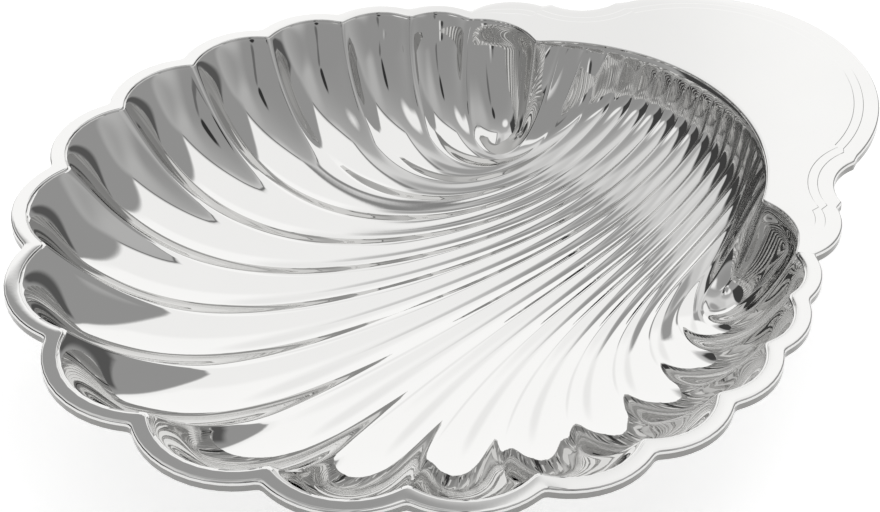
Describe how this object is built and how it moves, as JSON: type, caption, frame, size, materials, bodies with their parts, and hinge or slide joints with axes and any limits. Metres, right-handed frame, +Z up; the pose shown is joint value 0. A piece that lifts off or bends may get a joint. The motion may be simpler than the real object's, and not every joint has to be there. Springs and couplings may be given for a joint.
{
  "type": "shell serving tray",
  "caption": "Polished metal serving dish in the form of a scallop shell: a deep fluted bowl in a flat scalloped rim, with a fan-shaped handle plate at the hinge, on small turned feet.",
  "frame": {"origin": "on the table, under the middle of the overall length and width", "axes": "+Z up, +Y from the open front of the shell towards its handle, +X to the right seen from the front"},
  "size_m": [0.2954, 0.3582, 0.058],
  "materials": {
    "bowl_metal": "mirror polished silver colour",
    "rim_metal": "polished silver colour",
    "handle_metal": "polished silver colour",
    "foot_metal": "satin silver colour"
  },
  "bodies": {
    "root": {"fluted_bowl": "bowl_metal", "scalloped_rim": "rim_metal", "rim_edge_wire": "rim_metal", "handle_plate": "handle_metal", "handle_edge_wire": "handle_metal", "foot_front_left": "foot_metal", "foot_front_right": "foot_metal", "foot_rear": "foot_metal"}
  },
  "joints": []
}
